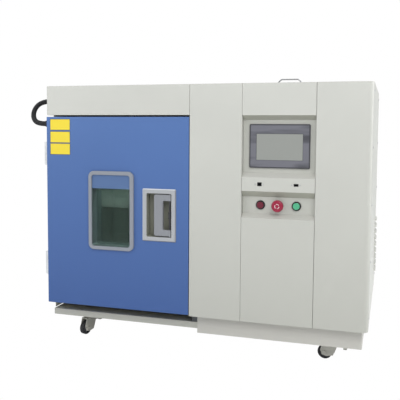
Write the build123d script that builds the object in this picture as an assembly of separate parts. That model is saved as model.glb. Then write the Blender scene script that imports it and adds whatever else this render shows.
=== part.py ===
"""Bench-height temperature and humidity test chamber on casters.

Working coordinates: X from the left face of the cabinet, Y back from the front face, Z up from
the floor, in millimetres. Every piece is moved to the part's own origin, at the middle of its
footprint on the floor, when it is written.
"""
import os
from math import atan2, cos, degrees, radians, sin, tan

from build123d import *

# Cabinet
width = 1160.0                  # over the side panels
depth = 800.0                   # front panels to rear panel
height = 950.0                  # floor to roof
sheet = 1.5                     # cabinet sheet steel
seam = 0.8                      # gap between neighbouring panels
front_bottom = 142.0            # lower edge of the front panels
edge_radius = 18.0              # rounded right front corner
fascia_radius = 8.0             # rounded left corner of the fascia
flange_depth = 54.0             # side returns beside the door bay
control_flange = 45.0           # side returns beside the control panel
bottom_flange = 36.0            # lower returns of the front panels

# Front layout, left to right
door_bay = 553.0
left_panel = 184.5
control_width = 244.0
fascia_height = 105.5

# Base
base_height = 76.0              # underside of the frame, the casters' full height
rail_height = 34.0
rail_width = 40.0
rail_wall = 2.5
tray_sheet = 2.0
tray_lip = 22.0
base_recess = 36.0
base_inset_left = 6.0
base_inset_right = 19.0
caster_inset_x = 103.0
caster_inset_y = 92.0
upright_size = 25.0
upright_wall = 2.0
upright_fit = 0.5               # clearance of the tray round an upright
plinth_left = 575.0
plinth_return = 14.0

# Door
door_gap_top = 6.5
door_gap_bottom = 3.0
door_gap_side = 1.5
door_thickness = 46.0
door_body_gap = 8.0             # space for the gasket
gasket_thickness = 6.7
gasket_width = 16.0
plug_depth = 24.0               # step of the door into the mouth
plug_clearance = 8.0
door_edge_radius = 2.5

# Chamber
room_width = 350.0
room_height = 450.0
room_left = 85.0
room_bottom = 276.0
room_back = 480.0               # rear wall of the liner
liner_sheet = 1.0
mouth_flange = 20.0
body_back = 545.0
body_bottom = 130.0
body_top_gap = 2.5              # above the door's upper edge to the body's top
skid_width = 40.0
baffle_y = 400.0
baffle_sheet = 1.2
baffle_top_gap = 28.0
rib_depth = 7.0
rib_height = 5.0
shelf_heights = (72.0, 222.0)
shelf_depth = 300.0
shelf_rod = 5.0
shelf_wire = 3.0
shelf_pitch = 20.0
shelf_side_gap = 1.0

# Door window
window_x = 260.0
window_z = 501.0
window_width = 149.0
window_height = 259.0
window_border = 13.5
window_sleeve = 2.0
window_proud = 9.0
window_radius = 10.0
glass_thickness = 4.0
glass_recess = 5.0              # outer pane behind the frame's face

# Door handle
handle_x = 443.5
handle_z = 493.0
handle_width = 93.0
handle_height = 154.5
bezel_border = 16.0
bezel_proud = 4.0
bezel_bevel = 3.2
bezel_radius = 4.0
pocket_depth = 34.0
pocket_wall = 4.0
pocket_radius = 4.0
grip_width = 61.0
grip_height = 147.4
grip_bar = 33.0
grip_arm = 22.5
grip_front = -2.0
grip_thickness = 12.0
grip_radius = 6.0
lever_pin = 6.0
lever_end = 8.0                 # pin centre from the opening's right side
lever_pin_seat = 3.0
running_gap = 0.05

# Hinges
hinge_axis_x = -11.5
hinge_axis_y = 22.0
knuckle_radius = 8.0
knuckle_gap = 0.5
hinge_height = 84.0
hinge_pin = 8.0
leaf_thickness = 2.5
hinge_centres = (291.0, 703.0)

# Control panel
recess_depth = 22.0
recess_slope = 15.0
recess_steep = 20.0             # upper slope of the button recess
screen_recess = (636.5, 843.5)
button_recess = (499.7, 590.0)
touch_x = 123.4                 # from the panel's left edge
touch_z = 741.0
touch_width = 203.0
touch_height = 147.0
touch_proud = 6.5
touch_radius = 5.0
touch_body_inset = 6.0
touch_body_depth = 34.0
display_width = 156.0
display_height = 89.0
display_rise = 3.0              # display centre below the bezel's centre
glass_inset = 0.6
button_z = 542.5
button_pitch = 60.5
button_hole = 22.3
button_body = 22.0
collar_width = 31.0
collar_height = 5.0
cap_width = 23.0
cap_proud = 4.0
cap_travel = 3.0
cap_stem = 12.0
port_z = 614.0
port_pitch = 122.0
port_screw_pitch = 28.0
network_size = (15.0, 13.0)
usb_size = (16.0, 9.0)
mushroom_width = 40.0
mushroom_height = 17.0
stop_neck = 22.0
stop_travel = 4.0
stop_stem = 10.0
panel_fit = 0.3

# Louvres pressed in the rear and right side panels
louvre_bulge = 8.0
louvre_sheet = 1.2

# Cable port in the left side
port_bore = 50.0
port_wall = 4.0
port_flange = 78.0
port_flange_thickness = 3.0
port_y = 236.0
port_height = 505.0
plug_head = 66.0
plug_head_height = 12.0
plug_length = 60.0

# Roof lid with its bow handle
lid_x = 845.0
lid_y = 330.0
lid_width = 160.0
lid_depth = 120.0
lid_sheet = 2.0
fill_width = 136.0
fill_depth = 96.0
lid_neck = 14.0
bow_span = 115.0
bow_height = 37.0
bow_rod = 5.0
bow_shoulder = 25.5

# Casters
wheel_width = 50.0
wheel_thickness = 20.0
tyre_depth = 6.0
wheel_bore = 8.0
trail = 24.0
fork_gap = 1.5
fork_sheet = 2.5
caster_plate = 60.0
plate_sheet = 3.0
head_radius = 19.0
head_height = 6.0
king_pin = 8.0
rest_angles = {"front_left": 72.0, "front_right": -6.0, "rear_left": 171.0, "rear_right": 198.0}
pedal_length = 44.0
pedal_pin = 4.0

# Conduit from the cabinet to the door
conduit_diameter = 19.0
gland_radius = 13.0
gland_length = 14.0
conduit_z_cabinet = 898.0
conduit_y_cabinet = 72.0
conduit_z_door = 813.0
conduit_y_door = 23.0
conduit_bends = (
    (-44.0, 72.0, 898.0),
    (-72.0, 62.0, 885.0),
    (-84.0, 50.0, 857.0),
    (-74.0, 36.0, 828.0),
    (-45.0, 23.0, 813.0),
)

# Machines
board_y = 430.0
board_top = 800.0
board_sheet = 2.0
fan_x = 260.0
fan_z = 650.0
fan_radius = 62.0
fan_shaft = 10.0
motor_radius = 55.0
motor_length = 90.0
compressor_x = 690.0
compressor_y = 600.0
compressor_radius = 76.0
compressor_height = 215.0
condenser_x = 960.0
condenser_z = 300.0
condenser_width = 300.0
condenser_depth = 50.0
condenser_gap = 8.0             # in front of the rear panel
shroud_depth = 45.0
cooling_fan_radius = 122.0
cooling_hub_radius = 38.0
pipe_diameter = 9.5

# Rear wall fittings
gland_x = 640.0
gland_z = 180.0
drain_x = 300.0
water_x = 360.0
fitting_depth = 21.0

# Places worked out from the sizes above
top_inner = height - sheet
back_inner = depth - sheet
fascia_bottom = height - fascia_height
door_top = fascia_bottom - door_gap_top
door_bottom = front_bottom + door_gap_bottom
door_right = door_bay - door_gap_side
body_front = door_thickness + door_body_gap
body_right = door_bay - door_gap_side
body_top = door_top + body_top_gap
tray_top = base_height + rail_height + tray_sheet
base_right = width - base_inset_right
frame_right = base_right - sheet
control_left = door_bay + left_panel + seam
control_right = control_left + control_width
room_right = room_left + room_width
room_top = room_bottom + room_height
room_middle = (room_left + room_right) / 2
caster_x = (base_inset_left + caster_inset_x, base_right - caster_inset_x)
caster_y = (base_recess + caster_inset_y, depth - base_recess - caster_inset_y + 30.0)
panel_back = recess_depth + sheet
button_x = control_left + control_width / 2
front_reach = -window_proud
back_reach = depth + fitting_depth
left_reach = hinge_axis_x - knuckle_radius
right_reach = width + louvre_bulge
origin_x = (left_reach + right_reach) / 2
origin_y = (front_reach + back_reach) / 2

LOW = (Align.MIN, Align.MIN, Align.MIN)


def block(x0, x1, y0, y1, z0, z1):
    return Pos(x0, y0, z0) * Box(x1 - x0, y1 - y0, z1 - z0, align=LOW)


def rod_x(x0, x1, y, z, radius):
    return extrude(Plane((x0, y, z), x_dir=(0, 1, 0), z_dir=(1, 0, 0)) * Circle(radius), x1 - x0)


def rod_y(x, y0, y1, z, radius):
    return extrude(Plane((x, y0, z), x_dir=(1, 0, 0), z_dir=(0, 1, 0)) * Circle(radius), y1 - y0)


def rod_z(x, y, z0, z1, radius):
    return extrude(Plane((x, y, z0)) * Circle(radius), z1 - z0)


def front_slab(x, z, wide, high, radius, y0, y1):
    """A rounded rectangle seen from the front, between two depths."""
    plane = Plane((x, y1, z), x_dir=(1, 0, 0), z_dir=(0, -1, 0))
    return extrude(plane * RectangleRounded(wide, high, radius), y1 - y0)


def folded(points, radii, side, z0, z1):
    """A vertical sheet whose plan follows the points along its outer face."""
    path = FilletPolyline(*points, radius=radii) if radii else Polyline(*points)
    face = make_face(offset(path, amount=sheet, side=side, kind=Kind.INTERSECTION))
    return extrude(Pos(0, 0, z0) * face, z1 - z0)


def square_tube(length, wide, high, wall):
    """A hollow tube along X, from its lower left front corner."""
    outer = Box(length, wide, high, align=LOW)
    inner = Pos(-1, wall, wall) * Box(length + 2, wide - 2 * wall, high - 2 * wall, align=LOW)
    return outer - inner


def fused(pieces):
    whole = pieces[0]
    for piece in pieces[1:]:
        whole = whole + piece
    return whole


def uprights():
    """Corner places of the machine bay's uprights."""
    near = base_recess + 3.0
    far = back_inner - upright_size
    left = door_bay + seam + sheet
    right = frame_right - upright_size
    return [(left, near), (right, near), (base_inset_left, far), (left, far), (right, far)]


def welded_frame():
    left, right = base_inset_left, frame_right
    stub_front = base_recess + tray_sheet
    rails = []
    for y in caster_y:
        rails.append(Pos(left, y - rail_width / 2, base_height)
                     * square_tube(right - left, rail_width, rail_height, rail_wall))
    back_end = back_inner
    across = caster_y[1] - caster_y[0] - rail_width
    for x in (left, door_bay, right - rail_width):
        rails.append(Pos(x + rail_width, caster_y[0] + rail_width / 2, base_height)
                     * Rot(0, 0, 90) * square_tube(across, rail_width, rail_height, rail_wall))
        rails.append(Pos(x + rail_width, caster_y[1] + rail_width / 2, base_height) * Rot(0, 0, 90)
                     * square_tube(back_end - caster_y[1] - rail_width / 2, rail_width,
                                   rail_height, rail_wall))
        if x > left:
            low = tray_top - tray_lip
            rails.append(Pos(x + rail_width, stub_front, low) * Rot(0, 0, 90)
                         * square_tube(caster_y[0] - rail_width / 2 - stub_front, rail_width,
                                       tray_lip - tray_sheet, rail_wall))
    posts = []
    for x, y in uprights():
        tall = top_inner - base_height - rail_height
        hollow = upright_size - 2 * upright_wall
        post = block(x, x + upright_size, y, y + upright_size, 0, tall)
        post = post - block(x + upright_wall, x + upright_wall + hollow, y + upright_wall,
                            y + upright_wall + hollow, -1, tall + 1)
        posts.append(Pos(0, 0, base_height + rail_height) * post)
    return fused(rails + posts)


def base_tray():
    left, right = base_inset_left, base_right - 5.0
    floor = block(left, right, base_recess, back_inner, tray_top - tray_sheet, tray_top)
    lip = block(left, right, base_recess, base_recess + tray_sheet, tray_top - tray_lip, tray_top)
    side = block(left, left + tray_sheet, base_recess, caster_y[0] - rail_width / 2 - seam,
                 tray_top - tray_lip, tray_top)
    tray = floor + lip + side
    for x, y in uprights():
        tray = tray - block(x - upright_fit, x + upright_size + upright_fit, y - upright_fit,
                            y + upright_size + upright_fit, tray_top - tray_sheet, tray_top + 1)
    return tray


def plinth():
    front = base_recess - sheet
    outline = [(plinth_left, base_recess + tray_sheet), (plinth_left, front),
               (base_right, front), (base_right, back_inner)]
    low = base_height - sheet
    skirt = folded(outline, (2.0, 3.0), Side.LEFT, low, front_bottom)
    foot = block(plinth_left + 2, frame_right, front + sheet, front + plinth_return,
                 low, base_height)
    slot = block(plinth_left - 1, plinth_left + sheet + 1, base_recess - 0.01,
                 base_recess + plinth_return, tray_top - tray_lip - panel_fit,
                 tray_top + panel_fit)
    return skirt + foot - slot


def fascia():
    outline = [(0, body_front - seam), (0, 0), (door_bay, 0), (door_bay, body_front - seam)]
    cover = folded(outline, (fascia_radius, 2.0), Side.LEFT, fascia_bottom, height)
    floor = block(fascia_radius, door_bay - sheet, sheet, body_front - seam,
                  fascia_bottom, fascia_bottom + sheet)
    return cover + floor - roof_plate()


def front_panel_left():
    left, right = door_bay + seam, control_left - seam
    outline = [(left, flange_depth), (left, 0), (right, 0), (right, control_flange)]
    panel = folded(outline, (2.0, 2.0), Side.LEFT, front_bottom, height)
    foot = block(left + sheet, right - sheet, sheet, bottom_flange,
                 front_bottom, front_bottom + sheet)
    return panel + foot - roof_plate()


def front_panel_right():
    left = control_right + seam
    outline = [(left, control_flange), (left, 0), (width, 0), (width, flange_depth)]
    panel = folded(outline, (2.0, edge_radius), Side.LEFT, front_bottom, height)
    foot = block(left + sheet, width - edge_radius, sheet, bottom_flange,
                 front_bottom, front_bottom + sheet)
    return panel + foot - roof_plate()


def control_panel():
    screen_low, screen_high = screen_recess
    button_low, button_high = button_recess
    fold = [(bottom_flange, front_bottom), (0, front_bottom),
            (0, button_low), (recess_depth, button_low + recess_slope),
            (recess_depth, button_high - recess_steep), (0, button_high),
            (0, screen_low), (recess_depth, screen_low + recess_slope),
            (recess_depth, screen_high - recess_slope), (0, screen_high), (0, height)]
    face = make_face(offset(Polyline(*fold), amount=sheet, side=Side.RIGHT,
                            kind=Kind.INTERSECTION))
    panel = extrude(Plane((control_left, 0, 0), x_dir=(0, 1, 0), z_dir=(1, 0, 0)) * face,
                    control_width)
    inset = touch_body_inset
    panel = panel - front_slab(control_left + touch_x, touch_z, touch_width - 2 * inset,
                               touch_height - 2 * inset, 3.0, recess_depth - 1, panel_back + 1)
    for step in (-1, 0, 1):
        panel = panel - rod_y(button_x + step * button_pitch, recess_depth - 1,
                              panel_back + 1, button_z, button_hole / 2)
    panel = panel - front_slab(button_x - port_pitch / 2, port_z, *network_size, 0.4, -1, sheet + 1)
    panel = panel - front_slab(button_x + port_pitch / 2, port_z, *usb_size, 0.4, -1, sheet + 1)
    return panel


def roof_plate():
    """The roof's sheet, its front corners following the rounded panels."""
    roof = block(sheet, width - sheet, sheet, back_inner, top_inner, height)
    corner = block(-1, fascia_radius, -1, fascia_radius, top_inner - 1, height + 1)
    corner = corner - rod_z(fascia_radius, fascia_radius, top_inner - 1, height + 1,
                            fascia_radius - sheet)
    right = width - edge_radius
    other = block(right, width + 1, -1, edge_radius, top_inner - 1, height + 1)
    other = other - rod_z(right, edge_radius, top_inner - 1, height + 1, edge_radius - sheet)
    return roof - corner - other


def roof_panel():
    cut = block(lid_x - fill_width / 2, lid_x + fill_width / 2, lid_y - fill_depth / 2,
                lid_y + fill_depth / 2, top_inner - 1, height + 1)
    return roof_plate() - cut


def louvre(length):
    """One pressed louvre on the plane Y = 0, opening downwards, bulging towards +Y."""
    bulge = louvre_bulge
    plane = Plane((-length / 2, 0, 0), x_dir=(0, 1, 0), z_dir=(1, 0, 0))
    outer = plane * make_face([Line((0, 0), (bulge, 0)), RadiusArc((bulge, 0), (0, bulge), -bulge),
                               Line((0, bulge), (0, 0))])
    hood = extrude(outer, length)
    inner_bulge = bulge - louvre_sheet
    inner_plane = Plane((-length / 2 + louvre_sheet, 0, 0), x_dir=(0, 1, 0), z_dir=(1, 0, 0))
    inner = inner_plane * make_face([Line((-3, -1), (inner_bulge, -1)),
                                     Line((inner_bulge, -1), (inner_bulge, 0)),
                                     RadiusArc((inner_bulge, 0), (0, inner_bulge), -inner_bulge),
                                     Line((0, inner_bulge), (-3, inner_bulge)),
                                     Line((-3, inner_bulge), (-3, -1))])
    return hood, extrude(inner, length - 2 * louvre_sheet)


def louvred(panel, places, turn, length=86.0):
    """Presses a louvre into the panel at each place."""
    for place in places:
        hood, hollow = louvre(length)
        at = Pos(*place) * Rot(0, 0, turn)
        panel = panel + at * hood - at * hollow
    return panel


def rear_panel():
    panel = block(sheet, width - sheet, back_inner, depth, tray_top, top_inner)
    places = [(x, depth, 560.0 + 26.0 * row) for x in (700.0, 1040.0) for row in range(8)]
    panel = louvred(panel, places, 0)
    for row in range(-5, 6):
        half = (cooling_fan_radius**2 - (22.0 * row) ** 2) ** 0.5
        panel = panel - front_slab(condenser_x, condenser_z + 22.0 * row, 2 * half, 11.0, 5.0,
                                   back_inner - 1, depth + 1)
    for x, z, radius in fitting_places():
        panel = panel - rod_y(x, back_inner - 1, depth + 1, z, radius)
    return panel


def fitting_places():
    return [(gland_x, gland_z, 10.0), (drain_x, gland_z, 8.0), (water_x, gland_z, 8.0)]


def right_side_panel():
    near = flange_depth + seam
    panel = block(width - sheet, width, near, depth, front_bottom, height)
    panel = panel + block(base_right - sheet, width - sheet, near, back_inner,
                          front_bottom, front_bottom + sheet)
    places = [(width, 640.0, 220.0 + 26.0 * row) for row in range(9)]
    return louvred(panel, places, -90)


def left_side_panel():
    panel = block(0, sheet, body_front, depth, tray_top, height)
    panel = panel - rod_x(-1, sheet + 1, port_y, port_height, port_bore / 2 + port_wall)
    panel = panel - rod_x(-1, sheet + 1, conduit_y_cabinet, conduit_z_cabinet,
                          conduit_diameter / 2)
    return panel


def chamber_body():
    """Insulation blocks round the liner: sides, floor, top and back, with the skids below."""
    t = liner_sheet
    front = body_front + t
    inner = (room_left - t, room_right + t, room_bottom - t, room_top + t)
    left, right, low, high = inner
    lip = mouth_flange
    sides = [block(sheet, left, front, room_back + t, body_bottom, body_top),
             block(right, body_right, front, room_back + t, body_bottom, body_top)]
    sides[0] = sides[0] - rod_x(0, room_left, port_y, port_height, port_bore / 2 + port_wall)
    floor = block(left, right, front, room_back + t, body_bottom, low)
    top = block(left, right, front, room_back + t, high, body_top)
    back = block(sheet, body_right, room_back + t, body_back, body_bottom, body_top)
    back = back - rod_y(fan_x, room_back, body_back + 1, fan_z, fan_shaft / 2 + 1)
    rim = block(sheet, body_right, body_front, front, body_bottom, body_top)
    rim = rim - block(room_left - lip, room_right + lip, body_front - 1, front + 1,
                      room_bottom - lip, room_top + lip)
    skids = [block(sheet + 8, body_right - 8, y, y + skid_width, tray_top, body_bottom)
             for y in (caster_y[0] + rail_width, body_back - 2 * skid_width)]
    return Compound(children=sides + [floor, top, back, rim] + skids)


def chamber_liner():
    t = liner_sheet
    shell = block(room_left - t, room_right + t, body_front, room_back + t,
                  room_bottom - t, room_top + t)
    shell = shell - block(room_left, room_right, body_front - 1, room_back, room_bottom, room_top)
    lip = mouth_flange
    rim = block(room_left - lip, room_right + lip, body_front, body_front + t,
                room_bottom - lip, room_top + lip)
    rim = rim - block(room_left, room_right, body_front - 1, body_front + t + 1,
                      room_bottom, room_top)
    shell = shell + rim
    for level in shelf_heights:
        z = room_bottom + level
        shell = shell + block(room_left, room_left + rib_depth, body_front + 20,
                              baffle_y - 10, z - rib_height, z)
        shell = shell + block(room_right - rib_depth, room_right, body_front + 20,
                              baffle_y - 10, z - rib_height, z)
    shell = shell - rod_x(room_left - 5, room_left + 5, port_y, port_height, port_bore / 2)
    shell = shell - rod_y(fan_x, room_back - 1, room_back + 5, fan_z, fan_shaft / 2 + 1)
    return shell


def air_baffle():
    top = room_top - baffle_top_gap
    plate = block(room_left, room_right, baffle_y, baffle_y + baffle_sheet, room_bottom, top)
    fold = block(room_left, room_right, baffle_y, baffle_y + 16, top - baffle_sheet, top)
    plate = plate + fold
    for row in range(3):
        for column in range(-2, 3):
            plate = plate - front_slab(room_middle + 60.0 * column, room_bottom + 30.0 + 14.0 * row,
                                       44.0, 6.0, 0.5, baffle_y - 1, baffle_y + baffle_sheet + 1)
    for turn in range(8):
        angle = radians(45 * turn + 22.5)
        for ring, size in ((22.0, 7.0), (42.0, 9.0)):
            plate = plate - rod_y(fan_x + ring * cos(angle), baffle_y - 1,
                                  baffle_y + baffle_sheet + 1, fan_z + ring * sin(angle), size)
    return plate


def wire_shelf(level):
    """A wire shelf on its ribs: a rod frame with thinner wires across it."""
    z = room_bottom + level + shelf_rod / 2
    left = room_left + shelf_side_gap + shelf_rod / 2
    right = room_right - shelf_side_gap - shelf_rod / 2
    near = baffle_y - 12.0 - shelf_depth
    far = near + shelf_depth
    frame = [rod_y(left, near, far, z, shelf_rod / 2), rod_y(right, near, far, z, shelf_rod / 2)]
    for y in (near, far):
        frame.append(rod_x(left, right, y, z, shelf_rod / 2))
    count = int((right - left) / shelf_pitch)
    start = (left + right) / 2 - shelf_pitch * (count - 1) / 2
    for step in range(count):
        frame.append(rod_y(start + shelf_pitch * step, near, far, z, shelf_wire / 2))
    return fused(frame)


def chamber_shelves():
    return Compound(children=[wire_shelf(level) for level in shelf_heights])


def finned_block(x0, x1, y0, y1, z0, z1, pitch):
    """A finned coil block, its fins standing across X."""
    core = block(x0, x1, y0 + 6, y1 - 6, z0, z1)
    pieces = [core]
    count = int((x1 - x0) / pitch)
    for step in range(count + 1):
        x = x0 + (x1 - x0 - 1.0) * step / count
        pieces.append(block(x, x + 1.0, y0, y1, z0, z1))
    return fused(pieces)


def evaporator():
    low, high = room_bottom + 60.0, room_bottom + 260.0
    coil = finned_block(room_left + 22, room_right - 22, room_back - 62, room_back, low, high, 12.0)
    for row in range(5):
        z = low + 20 + 40 * row
        coil = coil + rod_x(room_left + 12, room_left + 24, room_back - 31, z, pipe_diameter / 2)
        coil = coil + rod_x(room_right - 24, room_right - 12, room_back - 31, z, pipe_diameter / 2)
    return coil


def heater():
    """A sheathed heating element in three passes, its two ends through the rear wall."""
    y = room_back - 24
    x0, x1 = room_left + 40, room_right - 40
    z = room_bottom + 282.0
    route = [(x0, room_back, z), (x0, y, z), (x1, y, z), (x1, y, z + 24), (x0 + 20, y, z + 24),
             (x0 + 20, room_back, z + 24)]
    path = FilletPolyline(*route, radius=9.0)
    return sweep(Plane(route[0], z_dir=(0, -1, 0)) * Circle(4.0), path=path)


def humidifier():
    low = room_bottom
    pan = block(room_left + 30, room_right - 30, room_back - 72, room_back - 8, low, low + 34)
    pan = pan - block(room_left + 32, room_right - 32, room_back - 70, room_back - 10,
                      low + 2, low + 35)
    element = rod_x(room_left + 32, room_right - 32, room_back - 40, low + 14, 5.0)
    return pan + element


def fan_blades(count, inner, outer, chord_root, chord_tip, thick):
    """Twisted blades about the Y axis, from the hub out to the tip."""
    blades = []
    for step in range(count):
        root = Plane((0, 0, inner), x_dir=(0, 1, 0), z_dir=(0, 0, 1)) * Rot(0, 0, 48)
        tip = Plane((0, 0, outer), x_dir=(0, 1, 0), z_dir=(0, 0, 1)) * Rot(0, 0, 66)
        blade = loft([root * Rectangle(chord_root, thick), tip * Rectangle(chord_tip, thick)])
        blades.append(Rot(0, 360.0 * step / count, 0) * blade)
    return blades


def circulation_fan():
    y = (baffle_y + room_back) / 2 - 6
    hub = rod_y(0, -12, 12, 0, 20.0)
    wheel = fused([hub] + fan_blades(6, 17.0, fan_radius, 22.0, 30.0, 2.0))
    shaft = rod_y(0, 10, body_back + motor_length / 2 - y, 0, fan_shaft / 2)
    return Pos(fan_x, y, fan_z) * (wheel + shaft)


def circulation_motor():
    body = rod_y(fan_x, body_back, body_back + motor_length, fan_z, motor_radius)
    body = chamfer(body.edges().filter_by(GeomType.CIRCLE).sort_by(Axis.Y)[-1], 8.0)
    bore = rod_y(fan_x, body_back - 1, body_back + motor_length / 2 + 1, fan_z,
                 fan_shaft / 2 + running_gap)
    feet = block(fan_x - motor_radius - 14, fan_x + motor_radius + 14, body_back,
                 body_back + 6, fan_z - 24, fan_z + 24)
    return body + feet - bore


def compressor():
    r, h = compressor_radius, compressor_height
    foot = 16.0
    with BuildSketch(Plane.XZ) as profile:
        with BuildLine():
            Polyline((0, foot), (r * 0.82, foot))
            Line((r * 0.82, foot), (r, foot + 22))
            Line((r, foot + 22), (r, h - 46))
            RadiusArc((r, h - 46), (r * 0.55, h - 8), -(r * 0.62))
            Line((r * 0.55, h - 8), (0, h))
            Line((0, h), (0, foot))
        make_face()
    can = revolve(profile.sketch, Axis.Z)
    seam_ring = rod_z(0, 0, h * 0.52, h * 0.52 + 6, r + 3)
    base = block(-r - 12, r + 12, -r - 12, r + 12, foot - 4, foot)
    parts = [can, seam_ring, base]
    for sx in (-1, 1):
        for sy in (-1, 1):
            parts.append(rod_z(sx * (r + 1), sy * (r + 1), 0, foot - 4, 9.0))
    parts.append(block(r - 8, r + 20, -22, 22, h * 0.60, h * 0.60 + 50))
    return Pos(compressor_x, compressor_y, tray_top) * fused(parts)


def condenser():
    half = condenser_width / 2
    y1 = back_inner - condenser_gap
    y0 = y1 - condenser_depth
    low, high = condenser_z - half, condenser_z + half
    coil = finned_block(condenser_x - half, condenser_x + half, y0, y1, low, high, 12.0)
    front = y0 - shroud_depth
    shroud = block(condenser_x - half, condenser_x + half, front, y0, low, high)
    shroud = shroud - block(condenser_x - half + 2, condenser_x + half - 2, front + 2, y0 + 1,
                            low + 2, high - 2)
    shroud = shroud - rod_y(condenser_x, front - 1, front + 3, condenser_z, cooling_fan_radius + 6)
    legs = [block(x, x + 20, y0, y1, tray_top, low)
            for x in (condenser_x - half, condenser_x + half - 20)]
    motor = rod_y(condenser_x, front - 70, front - 8, condenser_z, 32.0)
    motor = motor - rod_y(condenser_x, front - 40, front, condenser_z, fan_shaft / 2 + running_gap)
    arms = []
    for turn in (45, 135, 225, 315):
        reach = cooling_fan_radius + 16
        arm = block(20, reach, -5, 5, -3, 3)
        arm = arm + block(reach - 10, reach, 0, 30, -3, 3)
        arms.append(Pos(condenser_x, front - 30, condenser_z) * Rot(0, turn, 0) * arm)
    return Compound(children=[fused([coil] + legs), shroud, fused([motor] + arms)])


def condenser_fan():
    front = back_inner - condenser_gap - condenser_depth - shroud_depth
    hub = rod_y(0, -14, 14, 0, cooling_hub_radius)
    shaft = rod_y(0, -44, -10, 0, fan_shaft / 2)
    blades = fan_blades(5, cooling_hub_radius - 4, cooling_fan_radius, 34.0, 60.0, 2.5)
    return Pos(condenser_x, front + 16, condenser_z) * fused([hub, shaft] + blades)


def pipe(points, radius):
    path = FilletPolyline(*points, radius=radius)
    start = Vector(*points[0])
    direction = Vector(*points[1]) - start
    return sweep(Plane(start, z_dir=direction) * Circle(pipe_diameter / 2), path=path)


def refrigerant_pipes():
    half = condenser_width / 2
    coil_y = back_inner - condenser_gap - condenser_depth / 2
    shell_left = compressor_x - compressor_radius
    shell_right = compressor_x + compressor_radius
    z0 = tray_top + 100
    hot = pipe([(shell_right, compressor_y + 14, z0), (shell_right + 30, compressor_y + 14, z0),
                (shell_right + 30, coil_y, z0), (shell_right + 30, coil_y, condenser_z + 90),
                (condenser_x - half, coil_y, condenser_z + 90)], 10.0)
    cold = pipe([(shell_left, compressor_y, z0 - 10), (shell_left - 26, compressor_y, z0 - 10),
                 (shell_left - 26, compressor_y, 420.0), (shell_left - 26, 470.0, 420.0),
                 (body_right, 470.0, 420.0)], 10.0)
    liquid = pipe([(condenser_x - half, coil_y, condenser_z - 110),
                   (shell_left - 46, coil_y, condenser_z - 110),
                   (shell_left - 46, coil_y, 520.0), (shell_left - 46, 500.0, 520.0),
                   (body_right, 500.0, 520.0)], 10.0)
    return Compound(children=[hot, cold, liquid])


def electrical_board():
    left = uprights()[0][0] + upright_size
    right = uprights()[1][0]
    board = block(left, right, board_y, board_y + board_sheet, tray_top, board_top)
    rails = []
    for row, z in enumerate((360.0, 520.0)):
        rails.append(block(left + 30, left + 330, board_y - 7, board_y, z, z + 34))
        for step in range(6 - row):
            x = left + 42 + 48 * step
            rails.append(block(x, x + 44, board_y - 70, board_y - 7, z - 26, z + 58))
    supply = block(right - 150, right - 40, board_y - 52, board_y, 240, 430)
    trunking = block(left + 30, right - 30, board_y - 40, board_y, 445, 475)
    return fused([board, supply, trunking] + rails)


def water_reservoir():
    x0, x1 = lid_x - 76, lid_x + 76
    y0, y1 = lid_y - 60, board_y
    low, high = 660.0, top_inner - 30
    tank = block(x0, x1, y0, y1, low, high)
    tank = fillet(tank.edges().filter_by(Axis.Z), 8.0)
    tank = tank - block(x0 + 3, x1 - 3, y0 + 3, lid_y + 57, low + 3, high + 1)
    return tank


def reservoir_lid():
    plate = block(lid_x - lid_width / 2, lid_x + lid_width / 2, lid_y - lid_depth / 2,
                  lid_y + lid_depth / 2, height, height + lid_sheet)
    plate = fillet(plate.edges().filter_by(Axis.Z), 6.0)
    fit = 1.0
    neck = block(lid_x - fill_width / 2 + fit, lid_x + fill_width / 2 - fit,
                 lid_y - fill_depth / 2 + fit, lid_y + fill_depth / 2 - fit,
                 height - lid_neck, height)
    hollow = block(lid_x - fill_width / 2 + fit + 2, lid_x + fill_width / 2 - fit - 2,
                   lid_y - fill_depth / 2 + fit + 2, lid_y + fill_depth / 2 - fit - 2,
                   height - lid_neck - 1, height)
    return plate + (neck - hollow) + bow_handle()


def bow_handle():
    foot = height + lid_sheet
    top = height + bow_height - bow_rod / 2
    half = bow_span / 2
    route = [(lid_x - half, lid_y, foot), (lid_x - half, lid_y, top - bow_shoulder),
             (lid_x - half + bow_shoulder, lid_y, top), (lid_x + half - bow_shoulder, lid_y, top),
             (lid_x + half, lid_y, top - bow_shoulder), (lid_x + half, lid_y, foot)]
    path = FilletPolyline(*route, radius=11.0)
    bow = sweep(Plane(route[0]) * Circle(bow_rod / 2), path=path)
    feet = [rod_z(x, lid_y, foot, foot + 3, bow_rod) for x in (lid_x - half, lid_x + half)]
    return fused([bow] + feet)


def touch_panel():
    x = control_left + touch_x
    front = recess_depth - touch_proud
    bezel = front_slab(x, touch_z, touch_width, touch_height, touch_radius, front, recess_depth)
    bezel = chamfer(bezel.faces().sort_by(Axis.Y)[0].edges(), 1.2)
    inset = touch_body_inset + panel_fit
    body = front_slab(x, touch_z, touch_width - 2 * inset, touch_height - 2 * inset, 2.5,
                      recess_depth, recess_depth + touch_body_depth)
    seat = front_slab(x, touch_z - display_rise, display_width, display_height, 1.0,
                      front - 1, front + glass_inset + 2.0)
    return bezel + body - seat


def touch_screen():
    x = control_left + touch_x
    front = recess_depth - touch_proud + glass_inset
    return front_slab(x, touch_z - display_rise, display_width, display_height, 1.0,
                      front, front + 2.0)


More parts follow.
